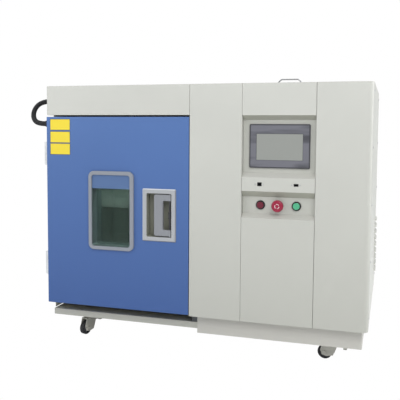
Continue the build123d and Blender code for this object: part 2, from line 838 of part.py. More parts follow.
def socket(x, wide, high, hollow, deep, long):
    """A socket's shell: four walls round its hollow, a back, and its flange behind the panel."""
    x0, x1 = x - wide / 2 + panel_fit, x + wide / 2 - panel_fit
    z0, z1 = port_z - high / 2 + panel_fit, port_z + high / 2 - panel_fit
    hx0, hx1, hz0, hz1 = x - hollow[0], x + hollow[0], port_z + hollow[1], port_z + hollow[2]
    walls = [block(x0, hx0, 0, deep, z0, z1), block(hx1, x1, 0, deep, z0, z1),
             block(hx0, hx1, 0, deep, z0, hz0), block(hx0, hx1, 0, deep, hz1, z1),
             block(x0, x1, deep, long, z0, z1)]
    half, tall = port_screw_pitch / 2 + 5, 8.5
    flanges = [block(x - half, x0, sheet, sheet + 1.6, port_z - tall, port_z + tall),
               block(x1, x + half, sheet, sheet + 1.6, port_z - tall, port_z + tall)]
    return walls + flanges


def data_ports():
    """A network socket on the left and a USB socket on the right."""
    left, right = button_x - port_pitch / 2, button_x + port_pitch / 2
    network = socket(left, *network_size, (5.9, -5.0, 3.6), 14.0, 20.0)
    usb = socket(right, *usb_size, (6.2, -3.4, 2.6), 13.0, 18.0)
    return Compound(children=network + usb)


def button_collars():
    """The fixed collars and contact blocks of the three buttons."""
    pieces = []
    for step in (-1, 0, 1):
        x = button_x + step * button_pitch
        front = recess_depth - collar_height
        ring = rod_y(x, front, recess_depth, button_z, collar_width / 2)
        ring = chamfer(ring.edges().filter_by(GeomType.CIRCLE).sort_by(Axis.Y)[0], 1.5)
        bush = rod_y(x, recess_depth, recess_depth + 26, button_z, button_body / 2)
        nut = rod_y(x, panel_back, panel_back + 5, button_z, button_body / 2 + 4)
        block_back = recess_depth + 26
        contact = block(x - 14, x + 14, block_back, block_back + 34, button_z - 20, button_z + 20)
        piece = fused([ring, bush, nut, contact])
        if step == 0:
            piece = piece - rod_y(x, front - 1, recess_depth + 30, button_z,
                                  stop_stem / 2 + running_gap)
            piece = piece - rod_y(x, front - 1, recess_depth, button_z, stop_neck / 2 + 0.4)
        else:
            piece = piece - rod_y(x, front - 1, recess_depth, button_z, cap_width / 2 + 0.3)
            piece = piece - rod_y(x, front, recess_depth + 22, button_z,
                                  cap_stem / 2 + running_gap)
        pieces.append(piece)
    return Compound(children=pieces)


def push_cap(step):
    x = button_x + step * button_pitch
    front = recess_depth - collar_height - cap_proud
    rest = cap_travel + 0.4
    cap = rod_y(x, front, recess_depth - rest, button_z, cap_width / 2)
    cap = fillet(cap.edges().filter_by(GeomType.CIRCLE).sort_by(Axis.Y)[0], 1.6)
    return cap + rod_y(x, front + 4, recess_depth + 22 - rest, button_z, cap_stem / 2)


def estop_plunger():
    x = button_x
    front = recess_depth - collar_height
    neck = rod_y(x, front - stop_travel - 4, recess_depth - stop_travel - 0.4,
                 button_z, stop_neck / 2)
    stem = rod_y(x, front - stop_travel - 13, recess_depth + 24 - stop_travel,
                 button_z, stop_stem / 2)
    return neck + stem


def estop_head():
    back = recess_depth - collar_height - stop_travel - 4.3
    r, h = mushroom_width / 2, mushroom_height
    with BuildSketch(Plane.XY) as profile:
        with BuildLine():
            Line((0, 0), (r - 4, 0))
            Line((r - 4, 0), (r, 4))
            Line((r, 4), (r, h - 7))
            RadiusArc((r, h - 7), (r - 7, h - 0.8), -7)
            Line((r - 7, h - 0.8), (0, h))
            Line((0, h), (0, 0))
        make_face()
    head = revolve(profile.sketch, Axis.Y)
    head = Pos(button_x, back, button_z) * Rot(180, 0, 0) * head
    return head - rod_y(button_x, back - 10, back + 1, button_z, stop_stem / 2 + running_gap)


def port_sleeve():
    outer = port_bore / 2 + port_wall - running_gap
    inner_end = room_left - liner_sheet
    tube = rod_x(0, inner_end, port_y, port_height, outer)
    rim = rod_x(-port_flange_thickness, 0, port_y, port_height, port_flange / 2)
    rim = chamfer(rim.edges().filter_by(GeomType.CIRCLE).sort_by(Axis.X)[0], 1.0)
    return tube + rim - rod_x(-port_flange_thickness - 1, room_left + 1, port_y, port_height,
                              port_bore / 2)


def port_plug():
    face = -port_flange_thickness - 0.3
    head = rod_x(face - plug_head_height, face, port_y, port_height, plug_head / 2)
    head = fillet(head.edges().filter_by(GeomType.CIRCLE).sort_by(Axis.X)[0], 4.0)
    shank = rod_x(face, face + plug_length, port_y, port_height, port_bore / 2 - 0.3)
    shank = chamfer(shank.edges().filter_by(GeomType.CIRCLE).sort_by(Axis.X)[-1], 2.0)
    return head + shank


def knuckle_spans(centre):
    """Lower, middle and upper knuckles of one hinge, as pairs of heights."""
    low = centre - hinge_height / 2
    third = hinge_height / 3
    return [(low, low + third - knuckle_gap), (low + third, low + 2 * third),
            (low + 2 * third + knuckle_gap, low + hinge_height)]


def body_door_fittings():
    """The fixed hinge leaves with their pins, and the strike plate."""
    pieces = []
    ax, ay, r = hinge_axis_x, hinge_axis_y, knuckle_radius
    for centre in hinge_centres:
        low, middle, high = knuckle_spans(centre)
        parts = [rod_z(ax, ay, low[0] - 1, high[1] + 1, hinge_pin / 2)]
        for z0, z1 in (low, high):
            parts.append(rod_z(ax, ay, z0, z1, r))
            parts.append(block(ax, ax + 6.5, ay, body_front + 3, z0, z1))
            parts.append(block(ax, 0, body_front + 0.5, body_front + 5, z0, z1))
        parts.append(block(-leaf_thickness, 0, body_front + 0.5, body_front + 44, low[0], high[1]))
        for z in (centre - 28, centre, centre + 28):
            parts.append(rod_x(-leaf_thickness - 2, -leaf_thickness, body_front + 28, z, 4.5))
        pieces.append(fused(parts))
    pieces.append(latch_striker())
    return Compound(children=pieces)


def door_hinge_leaves():
    pieces = []
    ax, ay, r = hinge_axis_x, hinge_axis_y, knuckle_radius
    for centre in hinge_centres:
        low, middle, high = knuckle_spans(centre)
        leaf = block(-leaf_thickness, 0, 4, door_thickness - 4, low[0], high[1])
        for z in (centre - 28, centre + 28):
            leaf = leaf + rod_x(-leaf_thickness - 1.2, -leaf_thickness, ay + 12, z, 3.5)
        web = block(ax, -leaf_thickness, ay - 5, ay + 5, *middle)
        barrel = rod_z(ax, ay, *middle, r)
        bore = rod_z(ax, ay, low[0] - 2, high[1] + 2, hinge_pin / 2 + running_gap)
        pieces.append(leaf + web + barrel - bore)
    return Compound(children=pieces)


def window_hole(extra, y0, y1):
    """The window's opening through the door, grown by an amount all round."""
    return front_slab(window_x, window_z, window_width + 2 * extra, window_height + 2 * extra,
                      window_radius + extra, y0, y1)


def handle_hole(extra, y0, y1):
    """The handle pocket's outline, grown by an amount all round."""
    return front_slab(handle_x, handle_z, handle_width + 2 * extra, handle_height + 2 * extra,
                      pocket_radius + extra, y0, y1)


def door_skin():
    z0, z1 = door_bottom, door_top
    pan = block(0, door_right, 0, door_thickness, z0, z1)
    pan = fillet(pan.edges().filter_by(Axis.Z).group_by(Axis.Y)[0], door_edge_radius)
    pan = fillet(pan.faces().sort_by(Axis.Y)[0].edges().filter_by(Axis.X), door_edge_radius - 0.5)
    pan = pan - block(sheet, door_right - sheet, sheet, door_thickness + 1,
                      z0 + sheet, z1 - sheet)
    pan = pan - window_hole(window_sleeve, -1, sheet + 1)
    return pan - handle_hole(pocket_wall, -1, sheet + 1)


def door_inner_panel():
    z0, z1 = door_bottom + sheet, door_top - sheet
    core = block(sheet, door_right - sheet, sheet, door_thickness, z0, z1)
    gap = plug_clearance
    plug = block(room_left + gap, room_right - gap, door_thickness, body_front + plug_depth,
                 room_bottom + gap, room_top - gap)
    plug = fillet(plug.edges().filter_by(Axis.Y), 10.0)
    plug = chamfer(plug.faces().sort_by(Axis.Y)[-1].edges(), 4.0)
    core = core + plug - window_hole(window_sleeve, 0, body_front + plug_depth + 1)
    return core - handle_hole(pocket_wall, 0, pocket_depth + pocket_wall)


def door_gasket():
    lip = mouth_flange - 2.0
    y0, y1 = door_thickness, door_thickness + gasket_thickness
    outer = block(room_left - lip, room_right + lip, y0, y1, room_bottom - lip, room_top + lip)
    outer = fillet(outer.edges().filter_by(Axis.Y), 14.0)
    shrink = gasket_width
    hole = block(room_left - lip + shrink, room_right + lip - shrink, y0 - 1, y1 + 1,
                 room_bottom - lip + shrink, room_top + lip - shrink)
    ring = outer - fillet(hole.edges().filter_by(Axis.Y), 6.0)
    front = ring.faces().sort_by(Axis.Y)[-1].edges()
    return fillet(front, 2.5)


def window_frame():
    back = body_front + plug_depth
    trim = front_slab(window_x, window_z, window_width + 2 * window_border,
                      window_height + 2 * window_border, window_radius + window_border - 2,
                      -window_proud, 0)
    trim = fillet(trim.faces().sort_by(Axis.Y)[0].edges(), 4.0)
    sleeve = window_hole(window_sleeve, 0, back)
    inner_trim = front_slab(window_x, window_z, window_width + 30, window_height + 30,
                            window_radius + 13, back, back + 1.5)
    return trim + sleeve + inner_trim - window_hole(0, -window_proud - 1, back + 3)


def window_glass():
    back = body_front + plug_depth
    starts = (glass_recess - window_proud, (back - window_proud) / 2, back - glass_thickness)
    panes = [window_hole(0, y, y + glass_thickness) for y in starts]
    return Compound(children=panes)


def handle_bezel():
    bezel = front_slab(handle_x, handle_z, handle_width + 2 * bezel_border,
                       handle_height + 2 * bezel_border, bezel_radius, -bezel_proud, 0)
    bezel = chamfer(bezel.faces().sort_by(Axis.Y)[0].edges(), bezel_bevel)
    cup = handle_hole(pocket_wall, 0, pocket_depth + pocket_wall)
    whole = bezel + cup - handle_hole(0, -bezel_proud - 1, pocket_depth)
    x, y = lever_place()
    seat = lever_pin_seat + running_gap
    return whole - rod_z(x, y, handle_z - handle_height / 2 - seat,
                         handle_z + handle_height / 2 + seat, lever_pin / 2 + running_gap)


def lever_place():
    return handle_x + handle_width / 2 - lever_end, grip_front + grip_thickness / 2


def door_lever():
    """A bracket-shaped grip, open to the right, on an upright pin through its two arms."""
    x, y = lever_place()
    left = x + 3.0 - grip_width
    grip = front_slab(left + (x - left) / 2, handle_z, x - left, grip_height, grip_radius,
                      grip_front, grip_front + grip_thickness)
    hollow = grip_height - 2 * grip_arm
    notch = front_slab(left + grip_bar + 40, handle_z, 80.0, hollow, 4.0,
                       grip_front - 1, grip_front + grip_thickness + 1)
    grip = grip - notch
    grip = fillet(grip.faces().sort_by(Axis.Y)[0].edges(), 2.6)
    ends = []
    for side in (-1, 1):
        far = handle_z + side * grip_height / 2
        near = far - side * grip_arm
        low, high = min(far, near), max(far, near)
        ends.append(rod_z(x, y, low, high, grip_thickness / 2))
    tip = handle_height / 2 + lever_pin_seat
    pin = rod_z(x, y, handle_z - tip, handle_z + tip, lever_pin / 2)
    cam = block(x - 5, x + 3, y, y + 19, handle_z - 12, handle_z + 12)
    hub = rod_z(x, y, handle_z - 12, handle_z + 12, 5.5)
    return fused([grip, pin, hub, cam] + ends)


def latch_striker():
    """The strike plate on the chamber's face that the door's release presses on."""
    x = handle_x + 60
    plate = block(x - 20, x + 20, body_front - 2, body_front, handle_z - 32, handle_z + 32)
    plate = fillet(plate.edges().filter_by(Axis.Y), 4.0)
    for z in (handle_z - 22, handle_z + 22):
        plate = plate + rod_y(x, body_front - 3.5, body_front - 2, z, 4.5)
    return plate


def caster_plates():
    top = base_height
    pieces = []
    for x in caster_x:
        for y in caster_y:
            plate = block(x - caster_plate / 2, x + caster_plate / 2, y - caster_plate / 2,
                          y + caster_plate / 2, top - plate_sheet, top)
            plate = fillet(plate.edges().filter_by(Axis.Z), 6.0)
            race = rod_z(x, y, top - plate_sheet - 3, top - plate_sheet, head_radius - 4)
            pin = rod_z(x, y, top - plate_sheet - 14, top - plate_sheet, king_pin / 2)
            parts = [plate, race, pin]
            for dx in (-1, 1):
                for dy in (-1, 1):
                    reach = caster_plate / 2 - 9
                    parts.append(rod_z(x + dx * reach, y + dy * reach, top - plate_sheet - 4,
                                       top - plate_sheet, 5.0))
            pieces.append(fused(parts))
    return Compound(children=pieces)


def at_caster(name, shape):
    """Places a caster piece, drawn with its wheel towards -X of the king pin."""
    side, hand = name.split("_")
    x = caster_x[0] if hand == "left" else caster_x[1]
    y = caster_y[0] if side == "front" else caster_y[1]
    return Pos(x, y, 0) * Rot(0, 0, rest_angles[name]) * shape


def caster_fork(braked):
    inner = wheel_thickness / 2 + fork_gap
    outer = inner + fork_sheet
    axle_z = wheel_width / 2
    head_top = base_height - plate_sheet - 3.5
    crown = head_top - head_height
    head = rod_z(0, 0, crown, head_top, head_radius)
    head = chamfer(head.edges().filter_by(GeomType.CIRCLE).sort_by(Axis.Z)[-1], 1.5)
    bridge = block(-trail - 6, head_radius - 2, -outer, outer, crown - fork_sheet, crown)
    parts = [head, bridge]
    for side in (-1, 1):
        outline = Polyline((-trail - 9, axle_z - 9), (-trail + 8, axle_z - 13),
                           (-trail + 30, axle_z - 8), (head_radius - 2, crown - 16),
                           (head_radius - 2, crown), (-trail - 6, crown),
                           (-trail - 14, axle_z + 8), close=True)
        face = Plane.XZ * make_face(outline)
        leg = extrude(face, fork_sheet)
        near = outer if side > 0 else -inner
        parts.append(Pos(0, near, 0) * leg)
    axle = rod_y(-trail, -outer - 3, outer + 3, axle_z, wheel_bore / 2)
    nuts = [rod_y(-trail, y, y + 4, axle_z, 6.5) for y in (-outer - 4, outer)]
    fork = fused(parts + [axle] + nuts)
    fork = fork - rod_z(0, 0, crown - fork_sheet - 1, head_top + 1, king_pin / 2 + running_gap)
    if braked:
        fork = fork + rod_y(head_radius - 10, -outer, outer, crown - 12, pedal_pin / 2)
    return fork


def caster_wheel():
    axle_z = wheel_width / 2
    half = wheel_thickness / 2
    r = wheel_width / 2
    with BuildSketch(Plane.XY) as profile:
        with BuildLine():
            Line((0, -half), (r - tyre_depth - 8, -half))
            Line((r - tyre_depth - 8, -half), (r - tyre_depth - 5, -half + 4))
            Line((r - tyre_depth - 5, -half + 4), (r - tyre_depth, -half + 1))
            Line((r - tyre_depth, -half + 1), (r - 2.5, -half + 1))
            Line((r - 2.5, -half + 1), (r, -half + 3.5))
            Line((r, -half + 3.5), (r, half - 3.5))
            Line((r, half - 3.5), (r - 2.5, half - 1))
            Line((r - 2.5, half - 1), (r - tyre_depth, half - 1))
            Line((r - tyre_depth, half - 1), (r - tyre_depth - 5, half - 4))
            Line((r - tyre_depth - 5, half - 4), (r - tyre_depth - 8, half))
            Line((r - tyre_depth - 8, half), (0, half))
            Line((0, half), (0, -half))
        make_face()
    wheel = Pos(-trail, 0, axle_z) * revolve(profile.sketch, Axis.Y)
    return wheel - rod_y(-trail, -half - 1, half + 1, axle_z, wheel_bore / 2 + running_gap)


def brake_pedal():
    inner = wheel_thickness / 2 + fork_gap - 0.4
    head_top = base_height - plate_sheet - 3.5
    z = head_top - head_height - 12
    x = head_radius - 10
    hub = rod_y(x, -inner, inner, z, 4.5)
    plate = block(x + 2, x + pedal_length, -inner, inner, z - 3, z + 2)
    toe = block(x + pedal_length - 12, x + pedal_length, -inner - 3, inner + 3, z - 9, z + 2)
    toe = fillet(toe.edges().filter_by(Axis.Y), 2.0)
    pedal = fused([hub, plate, toe])
    return pedal - rod_y(x, -inner - 1, inner + 1, z, pedal_pin / 2 + running_gap)


def conduit():
    """The flexible conduit's plain tube, from the cabinet's gland to the door's gland."""
    side = -gland_length - 0.3
    start = (side, conduit_y_cabinet, conduit_z_cabinet)
    end = (side, conduit_y_door, conduit_z_door)
    route = [Vector(*p) for p in (start, *conduit_bends, end)]
    radii = []
    for before, corner, after in zip(route, route[1:], route[2:]):
        turn = (corner - before).get_angle(after - corner)
        shorter = min((corner - before).length, (after - corner).length)
        radii.append(0.45 * shorter / tan(radians(turn / 2)))
    print("conduit bend radii", [round(r, 1) for r in radii])
    path = FilletPolyline(*route, radius=radii)
    print("conduit length", round(path.length, 1))
    section = Plane(route[0], z_dir=route[1] - route[0]) * Circle(conduit_diameter / 2)
    return sweep(section, path=path)


def gland(y, z):
    """A gland body with a hexagonal nut, standing on a left side face."""
    body = rod_x(-gland_length, 0, y, z, gland_radius - 1.5)
    plane = Plane((3 - gland_length, y, z), x_dir=(0, 1, 0), z_dir=(1, 0, 0))
    return body + extrude(plane * RegularPolygon(gland_radius, 6), 7.0)


def service_fittings():
    """The power gland, drain outlet, water inlet and the conduit's gland on the cabinet."""
    pieces = [gland(conduit_y_cabinet, conduit_z_cabinet)]
    for (x, z, radius), length in zip(fitting_places(), (fitting_depth, fitting_depth - 4, 16.0)):
        stub = rod_y(x, back_inner - 8, depth + length, z, radius - panel_fit)
        flange = rod_y(x, depth, depth + 4, z, radius + 6)
        hollow = rod_y(x, depth - 4, depth + length + 1, z, radius - 3.5)
        pieces.append(stub + flange - hollow)
    return Compound(children=pieces)


def parts():
    made = {
        "welded_frame": welded_frame(),
        "base_tray": base_tray(),
        "plinth": plinth(),
        "fascia": fascia(),
        "front_panel_left": front_panel_left(),
        "control_panel": control_panel(),
        "front_panel_right": front_panel_right(),
        "roof_panel": roof_panel(),
        "left_side_panel": left_side_panel(),
        "right_side_panel": right_side_panel(),
        "rear_panel": rear_panel(),
        "chamber_body": chamber_body(),
        "chamber_liner": chamber_liner(),
        "air_baffle": air_baffle(),
        "chamber_shelves": chamber_shelves(),
        "evaporator": evaporator(),
        "heater": heater(),
        "humidifier": humidifier(),
        "circulation_motor": circulation_motor(),
        "circulation_fan": circulation_fan(),
        "compressor": compressor(),
        "condenser": condenser(),
        "condenser_fan": condenser_fan(),
        "refrigerant_pipes": refrigerant_pipes(),
        "electrical_board": electrical_board(),
        "water_reservoir": water_reservoir(),
        "reservoir_lid": reservoir_lid(),
        "touch_panel": touch_panel(),
        "touch_screen": touch_screen(),
        "data_ports": data_ports(),
        "button_collars": button_collars(),
        "power_button": push_cap(-1),
        "light_button": push_cap(1),
        "estop_plunger": estop_plunger(),
        "estop_head": estop_head(),
        "port_sleeve": port_sleeve(),
        "port_plug": port_plug(),
        "body_door_fittings": body_door_fittings(),
        "door_hinge_leaves": door_hinge_leaves(),
        "door_skin": door_skin(),
        "door_inner_panel": door_inner_panel(),
        "door_gasket": door_gasket(),
        "window_frame": window_frame(),
        "window_glass": window_glass(),
        "handle_bezel": handle_bezel(),
        "door_lever": door_lever(),
        "caster_plates": caster_plates(),
        "conduit": conduit(),
        "door_gland": gland(conduit_y_door, conduit_z_door),
        "service_fittings": service_fittings(),
    }
    for name in rest_angles:
        braked = name.startswith("front")
        made["fork_" + name] = at_caster(name, caster_fork(braked))
        made["wheel_" + name] = at_caster(name, caster_wheel())
        if braked:
            made["brake_pedal_" + name] = at_caster(name, brake_pedal())
    return made


def main():
    os.makedirs("parts", exist_ok=True)
    for name, shape in parts().items():
        export_step(Pos(-origin_x, -origin_y, 0) * shape, f"parts/{name}.step")


if __name__ == "__main__":
    main()
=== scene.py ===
import math

import bpy
from mathutils import Matrix, Vector


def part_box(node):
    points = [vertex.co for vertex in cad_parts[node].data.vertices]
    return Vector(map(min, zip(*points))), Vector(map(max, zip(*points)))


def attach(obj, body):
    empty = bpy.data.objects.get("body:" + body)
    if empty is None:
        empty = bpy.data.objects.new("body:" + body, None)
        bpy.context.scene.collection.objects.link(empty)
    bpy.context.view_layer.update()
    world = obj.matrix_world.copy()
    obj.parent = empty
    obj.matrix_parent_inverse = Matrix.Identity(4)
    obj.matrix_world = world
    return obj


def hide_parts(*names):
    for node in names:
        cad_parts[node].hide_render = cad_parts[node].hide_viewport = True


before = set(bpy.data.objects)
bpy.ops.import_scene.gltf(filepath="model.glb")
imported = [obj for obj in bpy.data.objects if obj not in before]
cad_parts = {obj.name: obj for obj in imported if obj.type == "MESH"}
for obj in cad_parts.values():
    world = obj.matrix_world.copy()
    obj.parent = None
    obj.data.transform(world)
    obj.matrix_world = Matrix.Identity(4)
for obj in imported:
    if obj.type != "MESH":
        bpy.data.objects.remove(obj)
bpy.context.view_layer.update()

# The part's own origin, in metres from the cabinet's left face and front face
ORIGIN = Vector((0.57425, 0.406, 0.0))


def at(x, y, z):
    """A point given in millimetres from the left face, the front face and the floor."""
    return Vector((x, y, z)) / 1000 - ORIGIN


# Colours and surfaces

def linear(value):
    value = value / 255
    return value / 12.92 if value <= 0.04045 else ((value + 0.055) / 1.055) ** 2.4


def tone(red, green, blue):
    return (linear(red), linear(green), linear(blue), 1.0)


def new_material(name):
    material = bpy.data.materials.new(name)
    material.use_nodes = True
    nodes = material.node_tree.nodes
    return material, nodes, material.node_tree.links, nodes["Principled BSDF"]


def noise(nodes, links, scale, detail, stretch=None):
    """A noise texture in object coordinates, stretched along one axis if asked."""
    coordinates = nodes.new("ShaderNodeTexCoord")
    texture = nodes.new("ShaderNodeTexNoise")
    texture.inputs["Scale"].default_value = scale
    texture.inputs["Detail"].default_value = detail
    if stretch:
        mapping = nodes.new("ShaderNodeMapping")
        mapping.inputs["Scale"].default_value = stretch
        links.new(coordinates.outputs["Object"], mapping.inputs["Vector"])
        links.new(mapping.outputs["Vector"], texture.inputs["Vector"])
    else:
        links.new(coordinates.outputs["Object"], texture.inputs["Vector"])
    return texture


def varied(nodes, links, factor, colour, amount):
    """The colour, lighter and darker by an amount as the factor changes."""
    ramp = nodes.new("ShaderNodeValToRGB")
    low = [max(0.0, c * (1 - amount)) for c in colour[:3]]
    high = [min(1.0, c * (1 + amount)) for c in colour[:3]]
    ramp.color_ramp.elements[0].position = 0.35
    ramp.color_ramp.elements[0].color = (*low, 1.0)
    ramp.color_ramp.elements[1].position = 0.65
    ramp.color_ramp.elements[1].color = (*high, 1.0)
    links.new(factor, ramp.inputs["Fac"])
    return ramp.outputs["Color"]


def bumped(nodes, links, shader, height, strength, distance):
    bump = nodes.new("ShaderNodeBump")
    bump.inputs["Strength"].default_value = strength
    bump.inputs["Distance"].default_value = distance
    links.new(height, bump.inputs["Height"])
    links.new(bump.outputs["Normal"], shader.inputs["Normal"])
    return bump


def painted(name, colour, rough=0.42, painted_shade_fade=None, grain=900.0, bump=0.12, specular=0.4):
    """Powder-coated sheet: fine orange peel, a slight change of tone, and a painted shade that
    darkens it from top to bottom where one is given as the lower colour and the two heights."""
    material, nodes, links, shader = new_material(name)
    peel = noise(nodes, links, grain, 2.0)
    cloud = noise(nodes, links, 3.0, 3.0)
    base = varied(nodes, links, cloud.outputs["Fac"], colour, 0.025)
    # Painted shade: the colour darkens towards the bottom in place of the light falling off down
    # the sheet
    if painted_shade_fade:
        shaded_colour, low, high = painted_shade_fade
        place = nodes.new("ShaderNodeTexCoord")
        split = nodes.new("ShaderNodeSeparateXYZ")
        span = nodes.new("ShaderNodeMapRange")
        span.inputs["From Min"].default_value = low
        span.inputs["From Max"].default_value = high
        links.new(place.outputs["Object"], split.inputs["Vector"])
        links.new(split.outputs["Z"], span.inputs["Value"])
        mix = nodes.new("ShaderNodeMix")
        mix.data_type = "RGBA"
        mix.inputs[6].default_value = shaded_colour
        links.new(span.outputs["Result"], mix.inputs[0])
        links.new(base, mix.inputs[7])
        base = mix.outputs[2]
    links.new(base, shader.inputs["Base Color"])
    shader.inputs["Roughness"].default_value = rough
    shader.inputs["Specular IOR Level"].default_value = specular
    bumped(nodes, links, shader, peel.outputs["Fac"], bump, 0.0004)
    return material


def moulded(name, colour, rough=0.5, grain=1400.0, bump=0.25, specular=0.4, coat=0.0):
    """Moulded plastic or rubber with a fine grain."""
    material, nodes, links, shader = new_material(name)
    texture = noise(nodes, links, grain, 3.0)
    links.new(varied(nodes, links, texture.outputs["Fac"], colour, 0.06),
              shader.inputs["Base Color"])
    shader.inputs["Roughness"].default_value = rough
    shader.inputs["Specular IOR Level"].default_value = specular
    shader.inputs["Coat Weight"].default_value = coat
    bumped(nodes, links, shader, texture.outputs["Fac"], bump, 0.0003)
    return material


def metal(name, colour, rough=0.32, stretch=(60.0, 60.0, 2.0), scale=14.0, spread=0.12):
    """Bare metal, brushed along one direction."""
    material, nodes, links, shader = new_material(name)
    brush = noise(nodes, links, scale, 5.0, stretch)
    links.new(varied(nodes, links, brush.outputs["Fac"], colour, spread),
              shader.inputs["Base Color"])
    shader.inputs["Metallic"].default_value = 1.0
    amount = nodes.new("ShaderNodeMapRange")
    amount.inputs["To Min"].default_value = rough - 0.06
    amount.inputs["To Max"].default_value = rough + 0.08
    links.new(brush.outputs["Fac"], amount.inputs["Value"])
    links.new(amount.outputs["Result"], shader.inputs["Roughness"])
    bumped(nodes, links, shader, brush.outputs["Fac"], 0.08, 0.0002)
    return material


def reflection_painted_sheet(name, dark, light, rough):
    """A glossy printed sheet with painted reflections: soft streaks of reflected light painted
    into its colour from side to side, in two tones.
    """
    material, nodes, links, shader = new_material(name)
    # Painted reflection: noise streaks choose between the sheet's dark tone and a lighter
    # reflected tone
    streaks = noise(nodes, links, 9.0, 2.0, (0.5, 1.0, 2.6))
    ramp = nodes.new("ShaderNodeValToRGB")
    ramp.color_ramp.elements[0].position = 0.40
    ramp.color_ramp.elements[0].color = dark
    ramp.color_ramp.elements[1].position = 0.56
    ramp.color_ramp.elements[1].color = light
    links.new(streaks.outputs["Fac"], ramp.inputs["Fac"])
    links.new(ramp.outputs["Color"], shader.inputs["Base Color"])
    shader.inputs["Roughness"].default_value = rough
    shader.inputs["Coat Weight"].default_value = 0.3
    return material


def pane(name, colour, rough, clear):
    """Tinted glass: part reflecting surface, part see-through."""
    material, nodes, links, shader = new_material(name)
    texture = noise(nodes, links, 4.0, 2.0)
    links.new(varied(nodes, links, texture.outputs["Fac"], colour, 0.05),
              shader.inputs["Base Color"])
    shader.inputs["Roughness"].default_value = rough
    shader.inputs["Specular IOR Level"].default_value = 0.5
    through = nodes.new("ShaderNodeBsdfTransparent")
    through.inputs["Color"].default_value = (0.80, 0.86, 0.83, 1.0)
    mix = nodes.new("ShaderNodeMixShader")
    mix.inputs["Fac"].default_value = clear
    links.new(shader.outputs["BSDF"], mix.inputs[1])
    links.new(through.outputs["BSDF"], mix.inputs[2])
    links.new(mix.outputs["Shader"], nodes["Material Output"].inputs["Surface"])
    return material


# Cabinet front: its paint colour, with painted shade darkening it towards the bottom
CABINET = painted("cabinet_paint", tone(204, 204, 197),
                  painted_shade_fade=(tone(186, 186, 178), 0.14, 0.95))
SIDES = painted("side_paint", tone(204, 204, 197))
# Painted shade on the control panel's one sheet: darker tones for the upward recess slopes, the
# downward top slopes and the recessed floor
UP_SLOPE_PAINTED_SHADE = painted("up_slope_painted_shade", tone(192, 191, 184))
DOWN_SLOPE_PAINTED_SHADE = painted("down_slope_painted_shade", tone(168, 168, 156))
RECESS_PAINTED_SHADE = painted("recess_painted_shade", tone(190, 190, 182))
# Door skin: its blue paint, with painted shade darkening it towards the bottom
BLUE = painted("door_blue", tone(84, 116, 172), rough=0.36,
               painted_shade_fade=(tone(62, 93, 151), 0.145, 0.84))
BASE = painted("base_paint", tone(193, 191, 184), rough=0.5)
TRAY = painted("tray_paint", tone(180, 179, 170), rough=0.5)
FRAME = painted("frame_steel", tone(86, 88, 90), rough=0.6, bump=0.3)
MACHINE = painted("machine_black", tone(36, 36, 38), rough=0.45, bump=0.3)
STEEL = metal("stainless", (0.52, 0.53, 0.54, 1.0))
MIRROR_STEEL = metal("liner_steel", (0.68, 0.69, 0.69, 1.0), rough=0.34)
ZINC = metal("zinc", (0.50, 0.51, 0.53, 1.0), rough=0.36, stretch=(8.0, 8.0, 8.0), scale=40.0)
PLATED = painted("plated_steel", tone(196, 194, 184), rough=0.3, bump=0.05, specular=0.6)
ALUMINIUM = metal("aluminium", (0.66, 0.67, 0.68, 1.0), rough=0.38)
COPPER = metal("copper", (0.72, 0.34, 0.20, 1.0), rough=0.3)
FOAM = moulded("insulation", tone(206, 202, 184), rough=0.8, grain=400.0)
TRIM = moulded("trim_grey", tone(142, 146, 154), rough=0.4)
REVEAL = moulded("reveal_black", tone(44, 46, 47), rough=0.5)
HINGE = metal("hinge_steel", (0.82, 0.83, 0.84, 1.0), rough=0.38)
HANDLE = moulded("handle_grey", tone(172, 174, 177), rough=0.34)
# Painted highlight and painted shade: lighter and darker copies of the handle grey for its lit
# and shaded bevels
HANDLE_PAINTED_HIGHLIGHT = moulded("handle_painted_highlight", tone(212, 214, 217), rough=0.3)
HANDLE_PAINTED_SHADE = moulded("handle_painted_shade", tone(138, 139, 142), rough=0.36)
GRIP = moulded("grip_grey", tone(140, 142, 147), rough=0.34)
POCKET = moulded("pocket_grey", tone(146, 147, 134), rough=0.6)
# Touch panel: its dark tone with lighter streaks of painted reflection
DARK = reflection_painted_sheet("panel_dark", tone(74, 74, 80), tone(112, 112, 120), 0.25)
RIM = moulded("panel_rim", tone(58, 58, 62), rough=0.35)
CHROME = metal("bow_chrome", (0.40, 0.40, 0.41, 1.0), rough=0.24)
SCREEN = moulded("screen", tone(150, 152, 147), rough=0.22, bump=0.02)
BLACK = moulded("black_plastic", tone(30, 30, 32), rough=0.5)
SEAL = moulded("seal", tone(70, 70, 72), rough=0.7)
SILICONE = moulded("silicone", tone(214, 213, 208), rough=0.55)
RED_LENS = moulded("red_lens", tone(104, 15, 40), rough=0.18, bump=0.03, coat=0.5)
RED_HEAD = moulded("red_head", tone(150, 16, 54), rough=0.28, bump=0.08, coat=0.3)
MINT = moulded("mint_lens", tone(80, 176, 132), rough=0.18, bump=0.03, coat=0.5)
TREAD = moulded("tread", tone(52, 52, 54), rough=0.7)
HUB = moulded("hub_plastic", tone(66, 66, 70), rough=0.5)
WHITE = moulded("white_mark", tone(238, 238, 236), rough=0.5)
YELLOW = painted("yellow_plate", tone(238, 214, 60), rough=0.45, bump=0.05)
TANK = moulded("tank_white", tone(222, 226, 226), rough=0.4)
BAND = painted("blue_band", tone(86, 112, 154), rough=0.3, bump=0.03)
GLASS = pane("window_glass", tone(30, 34, 33), 0.06, 0.88)

